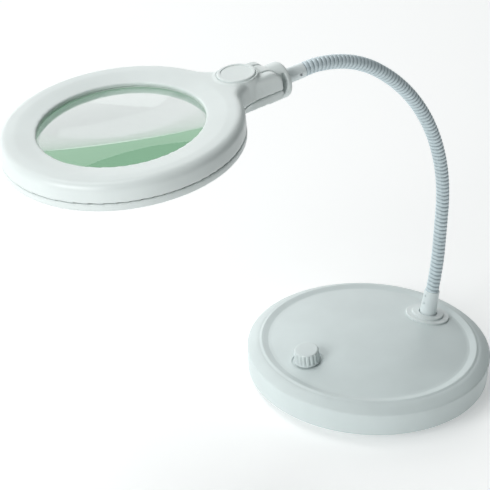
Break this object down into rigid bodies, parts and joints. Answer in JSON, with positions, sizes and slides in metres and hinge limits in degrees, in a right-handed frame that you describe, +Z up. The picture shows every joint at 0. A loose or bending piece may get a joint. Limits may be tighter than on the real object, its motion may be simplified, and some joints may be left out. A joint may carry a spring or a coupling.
{
  "type": "magnifying lamp",
  "caption": "Desk magnifying lamp: round weighted base with a dimmer knob, bendable gooseneck, and a tilting ring head with a large round lens and a ring of LEDs under it.",
  "frame": {"origin": "centre of the underside of the round base pad, on the table", "axes": "+Z up, -Y the way the neck reaches out over the work, +X to the right of a lamp seen from behind its neck; symmetric about X = 0 apart from small screws"},
  "size_m": [0.21, 0.4311, 0.3162],
  "materials": {
    "base_shell": "satin moulded ABS",
    "base_pad": "matt foam rubber",
    "base_weight": "blackened plate",
    "steel_fasteners": "zinc plated",
    "driver_board": "solder resist",
    "inlet": "moulded",
    "dimmer_body": "moulded",
    "dimmer_metal": "nickel plated",
    "knob": "satin moulded ABS",
    "collar": "satin",
    "ferrule": "satin paint",
    "gooseneck": "satin paint over wound steel",
    "head_shell": "satin moulded ABS",
    "cap": "satin moulded ABS",
    "pin": "ground",
    "friction_washer": "nylon",
    "lens": "polished crown glass, faintly green",
    "gasket": "matt",
    "diffuser": "opal acrylic",
    "led_board": "white solder resist",
    "leds": "phosphor and clear resin"
  },
  "bodies": {
    "base": {"base_cover": "base_shell", "base_pan": "base_shell", "base_pad": "base_pad", "base_weight": "base_weight", "base_screws": "steel_fasteners", "driver_board": "driver_board", "board_screws": "steel_fasteners", "power_inlet": "inlet", "dimmer_pot": "dimmer_body", "dimmer_nut": "dimmer_metal", "foot_collar": "collar", "lower_ferrule": "ferrule", "lower_set_screws": "steel_fasteners", "foot_washer": "steel_fasteners", "foot_nut": "steel_fasteners", "neck_link_0": "gooseneck"},
    "neck_1": {"neck_link_1": "gooseneck"},
    "neck_2": {"neck_link_2": "gooseneck"},
    "neck_3": {"neck_link_3": "gooseneck"},
    "neck_4": {"neck_link_4": "gooseneck"},
    "neck_5": {"neck_link_5": "gooseneck"},
    "neck_6": {"neck_link_6": "gooseneck"},
    "neck_end": {"neck_link_7": "gooseneck", "upper_ferrule": "ferrule", "upper_set_screw": "steel_fasteners", "knuckle": "head_shell"},
    "head": {"head_upper_shell": "head_shell", "head_lower_shell": "head_shell", "head_screws": "steel_fasteners", "tilt_pin": "pin", "friction_washers": "friction_washer", "lens": "lens", "lens_gasket": "gasket", "lens_bezel": "head_shell", "diffuser_ring": "diffuser", "led_board": "led_board", "leds": "leds", "led_board_screws": "steel_fasteners", "neck_cap": "cap"},
    "knob": {"dimmer_knob": "knob", "dimmer_shaft": "dimmer_metal"}
  },
  "joints": [
    {"name": "neck_bend_1", "type": "hinge", "parent": "base", "child": "neck_1", "pos_m": [0, 0.07216, 0.08205], "axis": [1, 0, 0], "range_deg": [-12, 8]},
    {"name": "neck_swing_2", "type": "hinge", "parent": "neck_1", "child": "neck_2", "pos_m": [0, 0.07299, 0.12947], "axis": [0, 1, 0], "range_deg": [-15, 15]},
    {"name": "neck_bend_3", "type": "hinge", "parent": "neck_2", "child": "neck_3", "pos_m": [0, 0.06858, 0.17657], "axis": [1, 0, 0], "range_deg": [-15, 8]},
    {"name": "neck_bend_4", "type": "hinge", "parent": "neck_3", "child": "neck_4", "pos_m": [0, 0.05197, 0.22085], "axis": [1, 0, 0], "range_deg": [-15, 6]},
    {"name": "neck_swing_5", "type": "hinge", "parent": "neck_4", "child": "neck_5", "pos_m": [0, 0.02416, 0.2591], "axis": [0, 0.7226, 0.6913], "range_deg": [-15, 15]},
    {"name": "neck_bend_6", "type": "hinge", "parent": "neck_5", "child": "neck_6", "pos_m": [0, -0.01283, 0.28856], "axis": [1, 0, 0], "range_deg": [-15, 4]},
    {"name": "neck_bend_7", "type": "hinge", "parent": "neck_6", "child": "neck_end", "pos_m": [0, -0.0576, 0.30312], "axis": [1, 0, 0], "range_deg": [-15, 4]},
    {"name": "head_tilt", "type": "hinge", "parent": "neck_end", "child": "head", "pos_m": [0, -0.11977, 0.30229], "axis": [1, 0, 0], "range_deg": [-15, 30]},
    {"name": "dimmer_turn", "type": "hinge", "parent": "base", "child": "knob", "pos_m": [0, -0.066, 0.03424], "axis": [0, -0.1399, 0.9902], "range_deg": [0, 300]}
  ]
}
